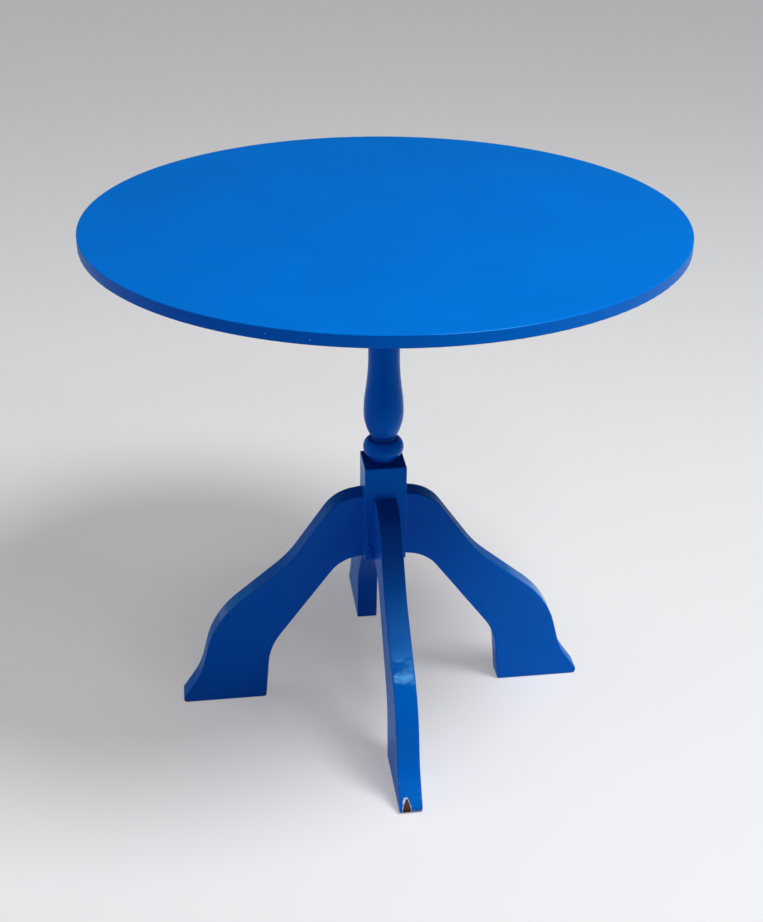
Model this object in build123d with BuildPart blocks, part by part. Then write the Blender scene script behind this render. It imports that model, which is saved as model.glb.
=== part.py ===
from build123d import *
import os

# Round pedestal table, painted all over. A round top lies on two bearers that are lapped
# over each other, and one turned column stands under them. The column ends in a square
# block, and a leg sawn from board is dowelled to each side of that block.
# The origin is on the floor under the column. +Z is up, and the front leg points along -Y.

os.makedirs("parts", exist_ok=True)

# Whole table
table_height = 750
cut_overrun = 5

# Top: one round board with its edges just eased
top_diameter = 800
top_thickness = 16
top_easing = 1.2

# Bearers: two battens under the top, halved over each other, thinned towards their ends
bearer_length = 600
bearer_width = 50
bearer_thickness = 30
bearer_end_thickness = 14
bearer_end_slope = 80
bearer_easing = 1.5
lap_clearance = 0.2

# Screws that draw the bearers to the top, sunk in counterbores from below
screw_bite = 11
screw_radius = 2
screw_head_radius = 4
screw_head_angle = 90
screw_tip_length = 5
screw_tip_radius = 0.3
screw_drive_width = 1.2
screw_drive_length = 4.4
screw_drive_depth = 1.6
screw_clearance = 0.1
screw_sink = 6
screw_sink_clearance = 0.6
inner_screw_reach = 80
outer_screw_inset = 20

# Block: the square foot of the column, which the legs are fixed to
block_side = 60
block_length = 150
block_bottom_height = 241
block_easing = 1.5

# Turning: recess, bead and vase above the block, then a bead and a collar under the bearers
recess_radius = 18
recess_height = 6
bead_radius = 29
bead_height = 30
quirk_height = 2.5
belly_radius = 28.4
neck_radius = 22
flare_radius = 25
collar_radius = 30
collar_height = 12
collar_easing = 2
upper_recess_height = 4
belly_height_share = 0.17
neck_height_share = 0.547
vase_sway_share = 0.365

# Tenon at the top of the column, spread by a wedge in a saw cut
tenon_radius = 15
tenon_clearance = 0.1
tenon_shyness = 0.8
tenon_chamfer = 1.5
wedge_depth = 20
wedge_inset = 2
wedge_top_thickness = 3.5
wedge_tip_thickness = 1
wedge_clearance = 0.05

# Legs: flat boards that spring from the block and spread into a long foot
leg_thickness = 32
leg_reach = 305
leg_heel_reach = 180
leg_root_depth = 101
leg_toe_height = 9
leg_toe_brow_rounding = 4
leg_heel_rounding = 4
leg_toe_rounding = 5
leg_easing = 2

# Outline of a leg: straight runs that turn in large arcs. The upper edge turns at the shoulder,
# hollow, knee and instep, and the lower edge at the arch and the heel. Each corner is a share of
# the run from the block to the toe or the heel, and of the height where that edge leaves the block.
leg_upper_shares = [(0.145, 0.980), (0.399, 0.687), (0.814, 0.412), (0.895, 0.151)]
leg_upper_radii = [62, 165, 140, 120]
leg_lower_shares = [(0.226, 0.980), (0.947, 0.373)]
leg_lower_radii = [58, 96]

# Dowels: a pair across each glued joint between a leg and the block
dowel_radius = 5
dowel_length = 50
dowel_core_gap = 10
dowel_end_gap = 0.5
dowel_clearance = 0.1
dowel_chamfer = 1
dowel_inset = 27

# Heights and reaches that follow from the sizes above
top_underside = table_height - top_thickness
bearer_underside = top_underside - bearer_thickness
lap_height = bearer_underside + bearer_thickness / 2
tenon_end = top_underside - tenon_shyness
block_top = block_bottom_height + block_length
block_face = block_side / 2
leg_root_foot = block_bottom_height
leg_root_top = leg_root_foot + leg_root_depth
dowel_heights = [leg_root_foot + dowel_inset, leg_root_top - dowel_inset]
screw_seat = bearer_underside + screw_sink
screw_length = bearer_thickness - screw_sink + screw_bite
outer_screw_reach = bearer_length / 2 - bearer_end_slope - outer_screw_inset
screw_reaches = [-outer_screw_reach, -inner_screw_reach, inner_screw_reach, outer_screw_reach]
sides = {"right": 0, "back": 90, "left": 180, "front": 270}


def outward(turn):
    """The direction that the leg on one side points in."""
    return Vector(1, 0, 0).rotate(Axis.Z, turn)


def facing_down(height):
    """A level plane at that height for holes that are bored upwards."""
    return Plane(origin=(0, 0, height), x_dir=(1, 0, 0), z_dir=(0, 0, -1))


def joint_plane(turn, reach, facing):
    """An upright plane across a leg's joint. Its X is the height above the floor."""
    return Plane(origin=outward(turn) * reach, x_dir=(0, 0, 1), z_dir=outward(turn) * facing)


# Tabletop
screw_spots = [(reach, 0) for reach in screw_reaches] + [(0, reach) for reach in screw_reaches]
with BuildPart() as tabletop:
    with BuildSketch(Plane.XY.offset(top_underside)):
        Circle(top_diameter / 2)
    extrude(amount=top_thickness)
    fillet(tabletop.edges(), radius=top_easing)
    with Locations(facing_down(top_underside)):
        with Locations(*screw_spots):
            Hole(screw_radius + screw_clearance, depth=screw_bite + screw_clearance)
tabletop.part.label = "tabletop"
export_step(tabletop.part, "parts/tabletop.step")


# Bearers: the long one is notched from above, the cross one from below
def make_bearer(name, side_plane, screws, notch_floor):
    """One batten with its half lap, its bore for the column's tenon and its screw holes."""
    half_length = bearer_length / 2
    with BuildPart() as bearer:
        with BuildSketch(side_plane.offset(-bearer_width / 2)):
            with BuildLine():
                Polyline(
                    (-half_length, top_underside),
                    (half_length, top_underside),
                    (half_length, top_underside - bearer_end_thickness),
                    (half_length - bearer_end_slope, bearer_underside),
                    (bearer_end_slope - half_length, bearer_underside),
                    (-half_length, top_underside - bearer_end_thickness),
                    close=True,
                )
            make_face()
        extrude(amount=bearer_width)
        underside = bearer.faces().sort_by(Axis.Z)[0]
        fillet(underside.edges().filter_by(Axis(side_plane.origin, side_plane.x_dir)), bearer_easing)
        with BuildSketch(Plane.XY.offset(notch_floor)):
            Rectangle(bearer_width + 2 * lap_clearance, bearer_width + 2 * lap_clearance)
        extrude(amount=bearer_thickness / 2 + lap_clearance, mode=Mode.SUBTRACT)
        with Locations(facing_down(bearer_underside)):
            Hole(tenon_radius + tenon_clearance)
            with Locations(*screws):
                Hole(screw_head_radius + screw_sink_clearance, depth=screw_sink)
        with Locations(facing_down(screw_seat)):
            with Locations(*screws):
                CounterSinkHole(
                    screw_radius + screw_clearance,
                    screw_head_radius + screw_clearance,
                    counter_sink_angle=screw_head_angle,
                )
    bearer.part.label = name
    export_step(bearer.part, f"parts/{name}.step")


make_bearer("bearer_long", Plane.XZ, [(reach, 0) for reach in screw_reaches], lap_height)
make_bearer("bearer_cross", Plane.YZ, [(0, reach) for reach in screw_reaches], bearer_underside)

# Screws: countersunk wood screws with a cross drive, all alike
with BuildPart() as screw:
    with BuildSketch(Plane.XZ):
        with BuildLine():
            Polyline(
                (0, 0),
                (screw_head_radius, 0),
                (screw_radius, screw_head_radius - screw_radius),
                (screw_radius, screw_length - screw_tip_length),
                (screw_tip_radius, screw_length),
                (0, screw_length),
                close=True,
            )
        make_face()
    revolve(axis=Axis.Z)
    with BuildSketch(Plane.XY):
        Rectangle(screw_drive_length, screw_drive_width)
        Rectangle(screw_drive_width, screw_drive_length)
    extrude(amount=screw_drive_depth, mode=Mode.SUBTRACT)

with BuildPart() as bearer_screws:
    with Locations(Plane.XY.offset(screw_seat)):
        with Locations(*screw_spots):
            add(screw.part)
bearer_screws.part.label = "bearer_screws"
export_step(bearer_screws.part, "parts/bearer_screws.step")


# Wedge: a hardwood slip driven into the saw cut in the column's tenon
def wedge_section(allowance):
    """Corners of the wedge's tapered section, set outwards by an allowance."""
    top_half = wedge_top_thickness / 2 + allowance
    tip_half = wedge_tip_thickness / 2 + allowance
    tip_height = tenon_end - wedge_depth - allowance
    return [(-top_half, tenon_end), (top_half, tenon_end), (tip_half, tip_height), (-tip_half, tip_height)]


with BuildPart() as tenon_wedge:
    with BuildSketch(Plane.XZ.offset(wedge_inset - tenon_radius)):
        with BuildLine():
            Polyline(*wedge_section(0), close=True)
        make_face()
    extrude(amount=2 * (tenon_radius - wedge_inset))
tenon_wedge.part.label = "tenon_wedge"
export_step(tenon_wedge.part, "parts/tenon_wedge.step")

# Column: one length of square stock, turned above the block and tenoned at its top
recess_top = block_top + recess_height
bead_top = recess_top + bead_height
vase_foot = bead_top + quirk_height
collar_foot = bearer_underside - collar_height
upper_bead_top = collar_foot - upper_recess_height
upper_bead_foot = upper_bead_top - bead_height
flare_top = upper_bead_foot - quirk_height
vase_height = flare_top - vase_foot
belly = Vector(belly_radius, vase_foot + belly_height_share * vase_height)
neck = Vector(neck_radius, vase_foot + neck_height_share * vase_height)
sway = belly + (neck - belly) * vase_sway_share
with BuildPart() as column:
    with BuildSketch(Plane.XY.offset(block_bottom_height)):
        Rectangle(block_side, block_side)
    extrude(amount=block_length)
    fillet(column.edges(), radius=block_easing)
    with BuildSketch(Plane.XZ):
        with BuildLine():
            Polyline((0, block_top - block_easing), (recess_radius, block_top - block_easing),
                     (recess_radius, recess_top))
            ThreePointArc(
                (recess_radius, recess_top),
                (bead_radius, recess_top + bead_height / 2),
                (recess_radius, bead_top),
            )
            Line((recess_radius, bead_top), (recess_radius, vase_foot))
            TangentArc(belly, (recess_radius, vase_foot), tangent=(0, -1))
            TangentArc(belly, sway, tangent=(0, 1))
            TangentArc(neck, sway, tangent=(0, -1))
            TangentArc(neck, (flare_radius, flare_top), tangent=(0, 1))
            Polyline((flare_radius, flare_top), (recess_radius, flare_top),
                     (recess_radius, upper_bead_foot))
            ThreePointArc(
                (recess_radius, upper_bead_foot),
                (bead_radius, upper_bead_foot + bead_height / 2),
                (recess_radius, upper_bead_top),
            )
            Polyline(
                (recess_radius, upper_bead_top),
                (recess_radius, collar_foot),
                (collar_radius, collar_foot),
                (collar_radius, bearer_underside),
                (0, bearer_underside),
                (0, block_top - block_easing),
            )
        make_face()
    revolve(axis=Axis.Z)
    collar = column.faces().filter_by(GeomType.CYLINDER).sort_by(Axis.Z)[-1]
    fillet(collar.edges().filter_by(GeomType.CIRCLE).sort_by(Axis.Z)[0], radius=collar_easing)
    with BuildSketch(Plane.XY.offset(bearer_underside)):
        Circle(tenon_radius)
    extrude(amount=bearer_thickness - tenon_shyness)
    chamfer(column.faces().sort_by(Axis.Z)[-1].edges(), length=tenon_chamfer)
    with BuildSketch(Plane.XZ):
        with BuildLine():
            Polyline(*wedge_section(wedge_clearance), close=True)
        make_face()
    extrude(amount=tenon_radius + cut_overrun, both=True, mode=Mode.SUBTRACT)
    for turn in sides.values():
        with Locations(joint_plane(turn, block_face, 1)):
            with Locations(*[(height, 0) for height in dowel_heights]):
                Hole(dowel_radius + dowel_clearance, depth=block_face - dowel_core_gap + dowel_end_gap)
column.part.label = "column"
export_step(column.part, "parts/column.step")


# Legs: each is sawn from one board and bored in its root for two dowels
def outline_corners(shares, run, rise):
    """Corners of a leg's outline, from shares of its run past the block and of its height."""
    return [(block_face + along * run, up * rise) for along, up in shares]


toe_run = leg_reach - block_face
heel_run = leg_heel_reach - block_face
leg_hole_depth = dowel_length - (block_face - dowel_core_gap) + dowel_end_gap
for side, turn in sides.items():
    across = outward(turn - 90)
    flank = Plane(origin=across * -leg_thickness / 2, x_dir=outward(turn), z_dir=across)
    with BuildPart() as leg:
        with BuildSketch(flank) as leg_outline:
            with BuildLine():
                FilletPolyline(
                    (block_face, leg_root_foot),
                    *outline_corners(leg_lower_shares, heel_run, leg_root_foot),
                    (leg_heel_reach, 0),
                    radius=leg_lower_radii,
                )
                Polyline((leg_heel_reach, 0), (leg_reach, 0), (leg_reach, leg_toe_height))
                FilletPolyline(
                    (block_face, leg_root_top),
                    *outline_corners(leg_upper_shares, toe_run, leg_root_top),
                    (leg_reach, leg_toe_height),
                    radius=leg_upper_radii,
                )
                Line((block_face, leg_root_top), (block_face, leg_root_foot))
            make_face()
            fillet(leg_outline.vertices().group_by(Axis.X)[-1].sort_by(Axis.Y)[-1], leg_toe_brow_rounding)
            fillet(leg_outline.vertices().group_by(Axis.Y)[0].sort_by(Axis.X)[-1], leg_toe_rounding)
            fillet(leg_outline.vertices().group_by(Axis.Y)[0].sort_by(Axis.X)[0], leg_heel_rounding)
        extrude(amount=leg_thickness)
        root = leg.faces().sort_by(Axis((0, 0, 0), outward(turn)))[0]
        cheeks = leg.faces().filter_by(Axis((0, 0, 0), across))
        fillet(cheeks.edges() - root.edges(), radius=leg_easing)
        with Locations(joint_plane(turn, block_face, -1)):
            with Locations(*[(height, 0) for height in dowel_heights]):
                Hole(dowel_radius + dowel_clearance, depth=leg_hole_depth)
    leg.part.label = f"leg_{side}"
    export_step(leg.part, f"parts/leg_{side}.step")

    # Dowels of that leg's joint, with their ends chamfered
    with BuildPart() as dowels:
        with BuildSketch(joint_plane(turn, dowel_core_gap, 1)):
            with Locations(*[(height, 0) for height in dowel_heights]):
                Circle(dowel_radius)
        extrude(amount=dowel_length)
        chamfer(dowels.edges().filter_by(GeomType.CIRCLE), length=dowel_chamfer)
    dowels.part.label = f"dowels_{side}"
    export_step(dowels.part, f"parts/dowels_{side}.step")
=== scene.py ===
import math

import bmesh
import bpy
from mathutils import Matrix, Vector


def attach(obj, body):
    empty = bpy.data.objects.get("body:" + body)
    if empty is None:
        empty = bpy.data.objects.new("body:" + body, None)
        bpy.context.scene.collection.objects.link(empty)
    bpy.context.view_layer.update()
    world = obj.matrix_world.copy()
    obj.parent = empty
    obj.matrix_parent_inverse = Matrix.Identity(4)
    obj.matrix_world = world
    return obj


# Round pedestal table under one brushed and rolled coat of royal blue paint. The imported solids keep
# their shapes. This script gives them their finish and adds the paint that ran or gathered on them.

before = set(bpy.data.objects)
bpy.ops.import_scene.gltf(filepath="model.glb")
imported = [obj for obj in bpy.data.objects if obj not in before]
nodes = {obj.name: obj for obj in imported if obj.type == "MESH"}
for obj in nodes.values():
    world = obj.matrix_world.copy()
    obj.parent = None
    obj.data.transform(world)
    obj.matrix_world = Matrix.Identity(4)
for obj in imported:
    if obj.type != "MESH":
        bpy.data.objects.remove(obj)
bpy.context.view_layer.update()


# Column: one length of 60 mm square stock, turned above the block to a recess, a bead and a vase.
# It was brushed round the turning and up and down the block, so its furrows run both ways.

class Wire:
    """A value in a shader. Arithmetic on it adds Math nodes, and node() adds any other kind."""

    def __init__(self, socket):
        self.socket, self.tree = socket, socket.id_data

    def node(self, kind, settings=(), sockets=(), output=0):
        made = self.tree.nodes.new("ShaderNode" + kind)
        for name, value in dict(settings).items():
            setattr(made, name, value)
        for name, value in dict(sockets).items():
            if isinstance(value, Wire):
                value.into(made.inputs[name])
            else:
                made.inputs[name].default_value = value
        return Wire(made.outputs[output])

    def into(self, socket):
        self.tree.links.new(self.socket, socket)

    def math(self, operation, *values):
        return self.node("Math", {"operation": operation}, enumerate(values))

    def __add__(self, other):
        return self.math("ADD", self, other)

    def __sub__(self, other):
        return self.math("SUBTRACT", self, other)

    def __rsub__(self, other):
        return self.math("SUBTRACT", other, self)

    def __mul__(self, other):
        return self.math("MULTIPLY", self, other)

    def __abs__(self):
        return self.math("ABSOLUTE", self)

    __radd__, __rmul__ = __add__, __mul__

    def most(self, other):
        return self.math("MAXIMUM", self, other)

    def ramp(self, start, end):
        """Rises smoothly from 0 to 1 between start and end, or falls where end is the smaller."""
        return self.node("MapRange", {"interpolation_type": "SMOOTHSTEP"}, {0: self, 1: start, 2: end})

    def parts(self):
        return [self.node("SeparateXYZ", (), {0: self}, axis) for axis in range(3)]

    def turned(self, angles, scale):
        """This place turned by angles in degrees and then stretched by scale."""
        angles = [math.radians(angle) for angle in angles]
        turned = self.node("Mapping", {"vector_type": "POINT"}, {"Vector": self, "Rotation": angles})
        return turned.node("VectorMath", {"operation": "MULTIPLY"}, {0: turned, 1: scale})

    def distance(self, centre):
        return self.node("VectorMath", {"operation": "DISTANCE"}, {0: self, 1: centre}, "Value")

    def near(self, centre, reach):
        """Falls from 1 at the centre to 0 at that reach, in metres."""
        return self.distance(centre).ramp(reach, reach * 0.55)

    def noise(self, scale, detail=2.0, roughness=0.5):
        return self.node("TexNoise", (), {"Vector": self, "Scale": scale, "Detail": detail,
                                          "Roughness": roughness})

    def spots(self, scale, radius):
        """Small round spots, one near each point of a loose grid of that scale."""
        gap = self.node("TexVoronoi", (), {"Vector": self, "Scale": scale, "Randomness": 1.0})
        return gap.ramp(radius * scale, radius * scale * 0.5)

    def blend(self, first, second):
        """The first colour where this is 0 and the second where it is 1."""
        return self.node("Mix", {"data_type": "RGBA"}, {0: self, 6: first, 7: second}, 2)


def blank(name):
    """A new material with its shader and the place on the piece, to build a finish on."""
    material = bpy.data.materials.new(name)
    material.use_nodes = True
    shader = material.node_tree.nodes["Principled BSDF"]
    return material, shader, Wire(shader.inputs["Base Color"]).node("TexCoord", output="Object")


def lay(shader, colour, rough, height, relief):
    """Gives the shader its colour, its roughness and its height, which is relief metres where it is 1."""
    colour.into(shader.inputs["Base Color"])
    rough.into(shader.inputs["Roughness"])
    bump = height.node("Bump", (), {"Strength": 1.0, "Distance": relief, "Height": height})
    bump.into(shader.inputs["Normal"])


royal_blue = (0.0, 0.160, 0.622, 1.0)
full_blue = (0.0, 0.168, 0.655, 1.0)
furrow_blue = (0.0, 0.180, 0.700, 1.0)
# a darker blue, used both for a single lean coat and for painted shade
thin_coat_and_shade_blue = (0.002, 0.020, 0.190, 1.0)
speck_blue = (0.24, 0.56, 0.90, 1.0)
primer_white = (0.88, 0.90, 0.93, 1.0)
coat_relief = 0.00005


def paint(name, furrows, damage=None, thin_coat_and_shade=None, rubbed=None, roughness=0.3, furrow_depth=0.5,
          peel_depth=0.3, sag=1.0, sheen=(0.12, 0.62, 1.0, 1.0)):
    """The blue coat as a material. furrows, damage, thin and rubbed are functions of place and
    normal: the brush's furrows, a mask for each kind of damage, the darker blue both where a single
    lean coat has to do and where shade is painted in, and where it is rubbed glossy. Depths and sag,
    the slow waves, are multiples of coat_relief. sheen tints the gloss."""
    material, shader, place = blank(name)
    normal = place.node("NewGeometry", output="Normal")
    shader.inputs["Specular IOR Level"].default_value = 0.3
    shader.inputs["Specular Tint"].default_value = sheen

    lines = furrows(place, normal)
    cloud = place.noise(11.0, 3.0)
    peel = place.noise(520.0, 1.0)
    nibs = place.spots(62.0, 0.0007) * place.noise(23.0).ramp(0.5, 0.6)
    waves = place.noise(36.0) + place.noise(120.0) * 0.28
    coat = cloud.ramp(0.3, 0.7).blend(royal_blue, full_blue)
    coat = (lines.ramp(0.6, 0.9) * 0.07).blend(coat, furrow_blue)
    # darker where a single coat has to do, and where shade is painted in
    if thin_coat_and_shade:
        coat = (thin_coat_and_shade(place, normal) * (0.75 + lines * 0.4)).blend(coat, thin_coat_and_shade_blue)
    rough = roughness + (lines - 0.5) * 0.05 + (cloud - 0.5) * 0.10
    if rubbed:
        rough = rough - rubbed(place, normal) * 0.13
    height = lines * furrow_depth + peel * peel_depth + nibs * 0.8 + waves * sag
    harm = damage(place, normal) if damage else {}
    if "specks" in harm:
        coat = harm["specks"].blend(coat, speck_blue)
    if "primed" in harm:
        coat = harm["primed"].blend(coat, primer_white)
        rough, height = rough + harm["primed"] * 0.35, height - harm["primed"] * 1.5
    if "bare" in harm:
        coat = harm["bare"].blend(coat, harm["wood"])
        rough, height = rough + harm["bare"] * 0.35, height - harm["bare"] * 2.5
    if "dent" in harm:
        height = height - harm["dent"]
    lay(shader, coat, rough, height, coat_relief)
    return material


def coat_node(node, material):
    for slot in nodes[node].material_slots:
        slot.material = material


block_top = 0.391
block_side = 0.060
recess_middle, recess_half = 0.4290, 0.0055


def round_and_upright(place, normal):
    """Furrows round the turning, and up and down the block below it."""
    round_it = place.turned((0, 0, 0), (30, 30, 620)).noise(1.0)
    upright = place.turned((0, 0, 0), (700, 700, 14)).noise(1.0, 3.0)
    turned_part = place.parts()[2].ramp(block_top - 0.0005, block_top + 0.0005)
    return turned_part * round_it + (1 - turned_part) * upright


def painted_shade_at_bead(place, normal):
    """Painted shade: a darker blue in the recess above the bead and on the block's top under it."""
    up = place.parts()[2]
    recess = (recess_half - abs(up - recess_middle)).ramp(0.0, 0.0025) * 0.7
    ledge = (up - block_top + 0.0004).ramp(0.0, 0.0003) * (up - block_top).ramp(0.0045, 0.0020) * 0.8
    return recess.most(ledge)


coat_node("column", paint("paint_on_column", round_and_upright, thin_coat_and_shade=painted_shade_at_bead, roughness=0.22,
                          furrow_depth=0.03, sheen=(0.04, 0.80, 1.0, 1.0)))


# Legs: four sawn boards, all alike, glued and dowelled to the block. The brush ran from the block
# down to the toe. Kicks have chipped the toes, the front one down to the wood.

leg_slope = 41
toe_reach = 0.305
side_turns = {"right": 0, "back": -90, "left": -180, "front": -270}
dark_wood, light_wood = (0.115, 0.036, 0.017, 1.0), (0.170, 0.062, 0.030, 1.0)
left_toe_corner = (-0.3025, -0.0140, 0.0008)
front_toe_specks = (-0.0141, -0.2858, 0.0374), (0.0124, -0.2923, 0.0278), (0.0138, -0.2977, 0.0198)
instep_dent, dent_depth = (-0.0115, -0.2115, 0.1757), 14
chip_top, chip_middle, chip_half = 0.0202, -0.0058, 0.0056
primer_edge = 0.0007
scuff_up, scuff_half = 0.0056, 0.0008
instep_gloss, edge_dullness = 1.3, 1.4


def leg_wise(vector, turn):
    """A place or a direction as its leg has it: x runs out along the leg, y across it and z up."""
    return vector.turned((0, 0, turn), (1, 1, 1))


def front_toe(place, across, up, ragged):
    """The chip in the front toe, a wedge that widens downwards from its tip on the instep: the bare
    wood, the primer round it, and the scuff across the toe beside it."""
    drop = chip_top - up
    middle = across - chip_middle + drop * 0.04 + ragged * 0.0012
    half = drop.ramp(-0.005, 0.012) * chip_half
    chip = (half - abs(middle)).ramp(-0.0001, 0.0003) * drop.ramp(0.0, 0.0006)
    edge = primer_edge + (across + 0.0062).ramp(0.0006, -0.0012) * up.ramp(0.0140, 0.0165) * 0.0022
    white = (half + edge - abs(middle)).ramp(-0.0001, 0.0002) * drop.ramp(-0.0017, -0.0010)
    scuff = (scuff_half - abs(up - scuff_up + ragged * 0.001)).ramp(0.0, 0.0004)
    return chip, white, scuff * across.ramp(-0.002, 0.0) * place.noise(210.0).ramp(0.42, 0.52)


def shoes(place, normal):
    """On the upper edge, how far shoes rubbed the instep glossy, and below 0 where it stayed dull."""
    up = place.parts()[2]
    instep = up.ramp(0.06, 0.14) * up.ramp(0.198, 0.180)
    return (instep * (instep_gloss + edge_dullness) - edge_dullness) * normal.parts()[2].ramp(0.3, 0.6)


for side, turn in side_turns.items():
    def down_the_leg(place, normal, turn=turn):
        return leg_wise(place, turn).turned((0, leg_slope, 0), (13, 620, 620)).noise(1.0, 3.0)

    def kicked(place, normal, turn=turn, side=side):
        """Small chips on the arrises of the foot, and bare wood where the toe meets the floor."""
        out, across, up = leg_wise(place, turn).parts()
        side_on = abs(leg_wise(normal, turn).parts()[1])
        arris = side_on.ramp(0.15, 0.35) * side_on.ramp(0.97, 0.85)
        ragged = place.noise(900.0) - 0.5
        low = up.ramp(0.110, 0.020)
        specks = place.spots(75.0, 0.0009) * arris * low * place.noise(31.0).ramp(0.5, 0.56)
        worn = (up + ragged * 0.006).ramp(0.0028, 0.0012)
        worn = worn * out.ramp(toe_reach - 0.012, toe_reach - 0.002) * place.noise(60.0).ramp(0.46, 0.54)
        wood = place.noise(400.0).blend(dark_wood, light_wood)
        if side == "left":
            worn = worn.most(place.near(left_toe_corner, 0.0060))
        harm = {"specks": specks, "bare": worn, "wood": wood}
        if side == "front":
            chip, white, scuff = front_toe(place, across, up, ragged)
            at_toe = out.ramp(toe_reach - 0.015, toe_reach - 0.012)
            specks = specks.most(scuff * at_toe)
            for spot in front_toe_specks:
                specks = specks.most(place.near(spot, 0.0009))
            harm["specks"], harm["primed"] = specks, white * at_toe
            harm["bare"] = worn.most(chip * at_toe)
            harm["dent"] = place.near(instep_dent, 0.0036) * dent_depth
        return harm

    def painted_shade_by_block(place, normal, side=side):
        """Painted shade on the upper edge next to the block, under the top: a darker blue, deepest in
        front.
        """
        deepest_shade = 0.65 if side == "front" else 0.35
        return place.parts()[2].ramp(0.21, 0.32) * normal.parts()[2].ramp(0.3, 0.6) * deepest_shade

    coat_node("leg_" + side, paint(
        "paint_on_leg_" + side, down_the_leg, kicked, painted_shade_by_block, shoes, roughness=0.29,
        furrow_depth=0.2, sag=18.0, sheen=(0.26, 0.76, 1.0, 1.0)))


# Paint runs: the coat sagged on the block's front face, to the left of the front leg, and dried as
# drips. Each is a long drop with a thicker lower end, half sunk in the face.

# where each run's middle is across and up, half its width and length, and how many degrees it leans
runs = [((-0.0256, 0.2870), 0.0012, 0.0190, 3), ((-0.0238, 0.2660), 0.0011, 0.0052, -40),
        ((-0.0212, 0.2622), 0.0012, 0.0056, -44), ((-0.0190, 0.2572), 0.0011, 0.0042, -30),
        ((-0.0240, 0.2568), 0.0011, 0.0045, 34), ((-0.0200, 0.2505), 0.0014, 0.0055, -10)]
run_proud = 0.0024
end_swell = (1.7, 1.5, 1.0)
drips = bmesh.new()
for (across, up), half_width, half_length, lean in runs:
    drop = bmesh.ops.create_uvsphere(drips, u_segments=20, v_segments=14, radius=1.0)["verts"]
    bmesh.ops.scale(drips, vec=(half_width, run_proud, half_length), verts=drop)
    bulb = [vert for vert in drop if vert.co.z < -0.5 * half_length]
    bmesh.ops.scale(drips, vec=end_swell, verts=bulb)
    for _ in range(2):
        bmesh.ops.smooth_vert(drips, verts=drop, factor=0.5,
                              use_axis_x=True, use_axis_y=True, use_axis_z=True)
    bmesh.ops.rotate(drips, matrix=Matrix.Rotation(math.radians(lean), 3, "Y"), verts=drop)
    bmesh.ops.translate(drips, vec=(across, -block_side / 2, up), verts=drop)
for face in drips.faces:
    face.smooth = True
paint_runs = bpy.data.objects.new("paint_runs", bpy.data.meshes.new("paint_runs"))
drips.to_mesh(paint_runs.data)
drips.free()
bpy.context.collection.objects.link(paint_runs)
paint_runs.data.materials.append(nodes["column"].material_slots[0].material)
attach(paint_runs, "root")


# Glue lines: glue squeezed out of the joint between each leg's root and the block. It set as a thin
# uneven bead up both sides of the root and over its top, and was painted over with the rest.

root_half, root_foot, root_top = 0.0161, 0.2425, 0.3420
root_corner = 0.002
bead_radius, bead_unevenness = 0.0007, 0.25
shoulder = root_top - root_corner
rise = [(root_half, root_foot + (shoulder - root_foot) * share / 12) for share in range(12)]
bend = [(root_half - root_corner + root_corner * math.cos(step), shoulder + root_corner * math.sin(step))
        for step in (0, math.pi / 6, math.pi / 3, math.pi / 2)]
one_side = rise + bend
outline = one_side + [(-across, up) for across, up in reversed(one_side)]
for side, turn in side_turns.items():
    line = bpy.data.curves.new("glue_line_" + side, "CURVE")
    line.dimensions = "3D"
    line.bevel_depth, line.bevel_resolution, line.use_fill_caps = bead_radius, 3, True
    path = line.splines.new("POLY")
    path.points.add(len(outline) - 1)
    for index, (point, (across, up)) in enumerate(zip(path.points, outline)):
        on_block = Matrix.Rotation(math.radians(-turn), 3, "Z") @ Vector((block_side / 2, across, up))
        point.co = (*on_block, 1)
        point.radius = 1 + bead_unevenness * math.sin(index * 2.4 + turn)
    curve = bpy.data.objects.new("glue_line_" + side, line)
    mesh = bpy.data.meshes.new_from_object(curve)
    bead = bpy.data.objects.new("glue_line_" + side, mesh)
    bpy.data.objects.remove(curve)
    bpy.context.collection.objects.link(bead)
    for face in mesh.polygons:
        face.use_smooth = True
    mesh.materials.clear()
    mesh.materials.append(nodes["leg_" + side].material_slots[0].material)
    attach(bead, "root")


# Dowels: beech pins, two across each joint between a leg and the block. They are glued in and out of
# sight, so their wood is bare.

dark_beech, light_beech = (0.56, 0.37, 0.21, 1.0), (0.68, 0.49, 0.31, 1.0)
fleck_brown = (0.36, 0.20, 0.10, 1.0)
pore_relief = 0.00004


def beech(name, angles):
    """Bare beech with its grain turned to lie along the piece: pale, with short dark flecks."""
    material, shader, place = blank(name)
    grain = place.turned(angles, (18, 260, 260)).noise(1.0, 4.0, 0.6)
    flecks = place.turned(angles, (260, 1900, 1900)).noise(1.0, 1.0).ramp(0.62, 0.72)
    wood = (flecks * 0.55).blend(grain.ramp(0.3, 0.7).blend(dark_beech, light_beech), fleck_brown)
    lay(shader, wood, 0.52 + grain * 0.14, grain - flecks, pore_relief)
    return material


for side, turn in side_turns.items():
    coat_node("dowels_" + side, beech("beech_dowels_" + side, (0, 0, turn)))


# Bearers: two battens halved over each other where they cross, screwed to the top from below. They
# are out of sight there, so they were painted once with a dry brush.

for bearer, angle in (("bearer_long", 0), ("bearer_cross", 90)):
    def along(place, normal, angle=angle):
        return place.turned((0, 0, angle), (9, 520, 520)).noise(1.0, 3.0)

    def dry_brushed(place, normal, angle=angle):
        return place.turned((0, 0, angle), (5, 90, 90)).noise(1.0).ramp(0.15, 0.6)

    coat_node(bearer, paint("paint_on_" + bearer, along, thin_coat_and_shade=dry_brushed, roughness=0.42,
                            furrow_depth=1.2))


# Wedge: a slip of beech, driven into the saw cut in the column's tenon to spread it in the bearers.
# Its grain stands upright, and it is glued and left bare.

coat_node("tenon_wedge", beech("beech_wedge", (0, 90, 0)))


# Screws: eight countersunk ones of zinc-plated steel, driven from below to draw the bearers to the
# top. The plate has a dull bloom and fine scratches.

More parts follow.
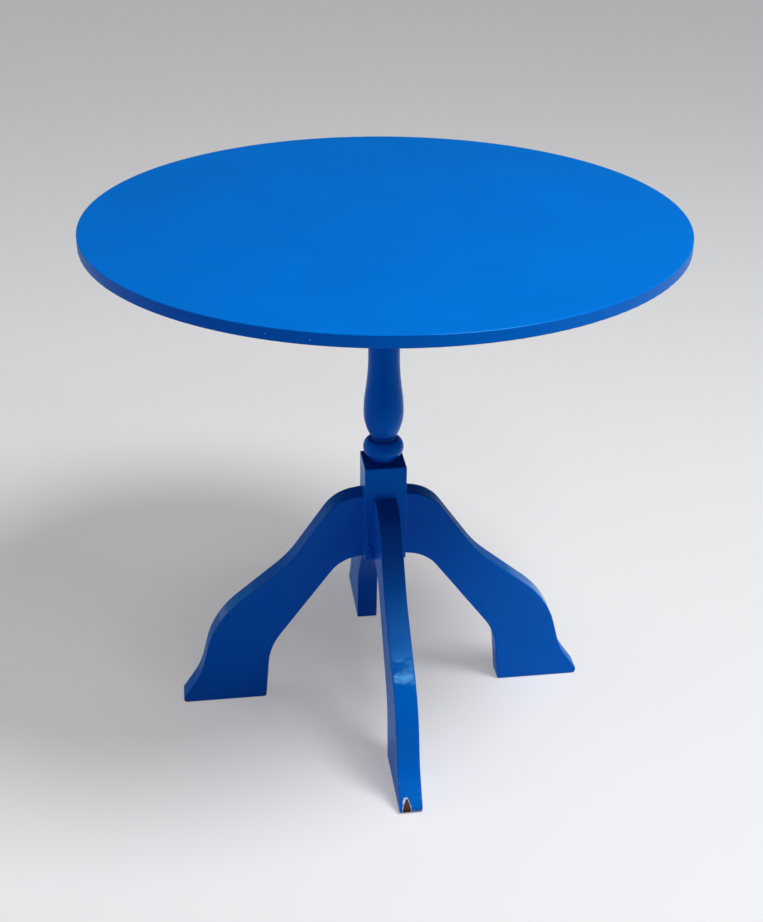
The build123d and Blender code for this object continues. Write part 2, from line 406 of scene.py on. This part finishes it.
dull_zinc, bright_zinc = (0.60, 0.61, 0.62, 1.0), (0.72, 0.72, 0.70, 1.0)
scratch_relief = 0.00001
zinc, shader, place = blank("zinc_plate")
shader.inputs["Metallic"].default_value = 1.0
bloom = place.noise(240.0, 3.0)
scratches = place.turned((0, 0, 30), (500, 4200, 500)).noise(1.0)
lay(shader, bloom.ramp(0.3, 0.7).blend(dull_zinc, bright_zinc),
    0.24 + bloom * 0.16 + scratches * 0.10, scratches, scratch_relief)
coat_node("bearer_screws", zinc)


# Tabletop: a flat round board with its arrises just eased. The face was rolled, which left a fine
# peel, and the rim brushed round. Knocks have nicked the arrises.

rim_nick = (-0.3582, -0.1778, 0.7470)
rim_specks = (-0.1806, -0.3568, 0.7418), (-0.1334, -0.3770, 0.7403)


def rolled_and_rimmed(place, normal):
    """Faint roller tracks on the faces and furrows round the rim."""
    tracks = place.turned((0, 0, 24), (7, 46, 46)).noise(1.0, 3.0)
    rim_lines = place.turned((0, 0, 0), (12, 12, 700)).noise(1.0, 3.0)
    face = abs(normal.parts()[2]).ramp(0.4, 0.8)
    return face * (0.35 + tracks * 0.3) + (1 - face) * rim_lines


def underside(place, normal):
    """The lower face, which got a single coat."""
    return normal.parts()[2].ramp(-0.4, -0.8)


def knocked(place, normal):
    """A nick and a few specks on the rim and its arrises."""
    tilt = abs(normal.parts()[2])
    arris = tilt.ramp(0.08, 0.25) * tilt.ramp(0.99, 0.92)
    specks = place.spots(48.0, 0.0011) * arris * place.noise(17.0).ramp(0.54, 0.6)
    for spot in rim_specks:
        specks = specks.most(place.near(spot, 0.0011))
    return {"specks": specks, "dent": place.near(rim_nick, 0.0030) * 4}


coat_node("tabletop", paint("paint_on_top", rolled_and_rimmed, knocked, underside, roughness=0.34,
                            furrow_depth=0.4, peel_depth=0.5))


# Studio: a pale floor, with a soft shadow of the table painted into its glow amid the feet, that fades
# into a plain grey surround, one large soft lamp at the upper right in front of the table, three weak
# ones at the left, at the right and in front, and the camera.

floor_radius = 14.0
# the floor lies just under the feet, so that their undersides don't share its face
floor_drop = 0.0002
floor_mesh = bmesh.new()
bmesh.ops.create_circle(floor_mesh, cap_ends=True, segments=96, radius=floor_radius,
                        matrix=Matrix.Translation((0.0, 0.0, -floor_drop)))
floor = bpy.data.objects.new("floor", bpy.data.meshes.new("floor"))
floor_mesh.to_mesh(floor.data)
floor_mesh.free()
bpy.context.collection.objects.link(floor)

black = (0.0, 0.0, 0.0, 1.0)
floor_pale = (0.60, 0.607, 0.628, 1.0)
floor_in_gloss, floor_in_gloss_far = (0.58, 0.74, 0.86, 1.0), (0.02, 0.04, 0.08, 1.0)
floor_bounce = (0.22, 0.32, 0.54, 1.0)
gloss_glow = (0.11, 0.155, 0.19, 1.0)
glow_in_painted_shadow, glow_around, glow_far = (
    (0.282, 0.270, 0.246, 1.0), (0.368, 0.356, 0.330, 1.0), (0.449, 0.432, 0.400, 1.0))
surround_grey = (0.46, 0.46, 0.465, 1.0)
painted_shadow_middle = (-0.02, 0.12, 0.0)
# two metres in front the floor is darker, which shows only as the dark core of the column's gloss
dark_stretch, stretch_reach = (-0.27, -1.95, 0.0), 0.85

pale_floor, shader, place = blank("pale_floor")
seen = place.node("LightPath", output="Is Camera Ray")
mirrored = place.node("LightPath", output="Is Glossy Ray")
far_front = place.near(dark_stretch, stretch_reach)
bounced = mirrored.blend(floor_bounce, far_front.blend(floor_in_gloss, floor_in_gloss_far))
seen.blend(bounced, floor_pale).into(shader.inputs["Base Color"])
glow = (mirrored * (1 - far_front)).blend(black, gloss_glow)
# the floor glows less amid the feet, a painted shadow of the table that fades out by 0.45 m, and more far
# off
gap = place.distance(painted_shadow_middle)
lit = gap.ramp(0.05, 0.45).blend(glow_in_painted_shadow, glow_around)
lit = gap.ramp(6.0, 13.5).blend(lit, glow_far)
seen.blend(glow, lit).into(shader.inputs["Emission Color"])
shader.inputs["Emission Strength"].default_value = 1.0
shader.inputs["Roughness"].default_value = 0.7
shader.inputs["Specular IOR Level"].default_value = 0.1
# the floor is clear from below, so that the underside of the table can be seen
below = place.node("NewGeometry", output="Backfacing")
both_sides = below.node("MixShader", (), {
    0: below, 1: Wire(shader.outputs[0]), 2: place.node("BsdfTransparent")})
both_sides.into(pale_floor.node_tree.nodes["Material Output"].inputs["Surface"])
floor.data.materials.append(pale_floor)

world = bpy.data.worlds.new("studio")
world.use_nodes = True
bpy.context.scene.world = world
background = world.node_tree.nodes["Background"]
direction = Wire(background.inputs["Color"]).node("TexCoord", output="Generated")
sideways, backwards, height = direction.parts()
seen = direction.node("LightPath", output="Is Camera Ray")
mirrored = direction.node("LightPath", output="Is Glossy Ray")
# gloss mirrors pale flanks low at both sides, a fainter band behind and a little from overhead
overhead = height.ramp(0.6, 0.95) * 0.1
flanks = abs(sideways).ramp(0.30, 0.75) * height.ramp(0.50, 0.12) * (0.6 - sideways * 0.35)
behind = backwards.ramp(0.0, 0.5) * height.ramp(0.22, 0.05) * 0.3
gloss_level = 0.035 + flanks.most(behind) + overhead
in_gloss = direction.node("CombineColor", (), {
    0: gloss_level * 0.25, 1: gloss_level, 2: gloss_level * 1.35})
# the fill comes softly from low down all round, most of it from the left
from_sides = abs(sideways).ramp(0.3, 0.9) * (0.75 - sideways * 0.40)
fill_level = 0.02 + height.ramp(0.45, 0.0) * (0.3 + from_sides) + overhead
fill = direction.node("CombineColor", (), {
    0: fill_level * 0.38, 1: fill_level * 0.53, 2: fill_level})
seen.blend(mirrored.blend(fill, in_gloss), surround_grey).into(background.inputs["Color"])


def area_light(name, place, aim, size, power):
    lamp = bpy.data.lights.new(name, "AREA")
    lamp.shape, lamp.size, lamp.energy = "DISK", size, power
    light = bpy.data.objects.new(name, lamp)
    light.location = place
    light.rotation_euler = (Vector(aim) - Vector(place)).to_track_quat("-Z", "Y").to_euler()
    bpy.context.collection.objects.link(light)


area_light("key", (1.30, -0.98, 3.6), (0.0, 0.0, 0.5), size=1.3, power=109)
area_light("left", (-3.2, 0.35, 3.1), (0.0, 0.0, 0.4), size=1.6, power=9)
area_light("right", (2.33, -1.89, 2.50), (0.0, 0.0, 0.4), size=0.45, power=6)
area_light("front", (0.39, -1.53, 2.42), (0.0, -0.2, 0.2), size=0.36, power=5)

eye = (-0.2535, -1.8141, 1.3504)
heading, pitch, roll = math.radians(-7.876), math.radians(62.27), math.radians(0.39)
camera = bpy.data.objects.new("camera", bpy.data.cameras.new("camera"))
camera.data.lens = 56.40
camera.matrix_world = (
    Matrix.Translation(eye) @ Matrix.Rotation(heading, 4, "Z")
    @ Matrix.Rotation(pitch, 4, "X") @ Matrix.Rotation(roll, 4, "Z"))
bpy.context.collection.objects.link(camera)
bpy.context.scene.camera = camera
bpy.context.scene.view_settings.view_transform = "Standard"
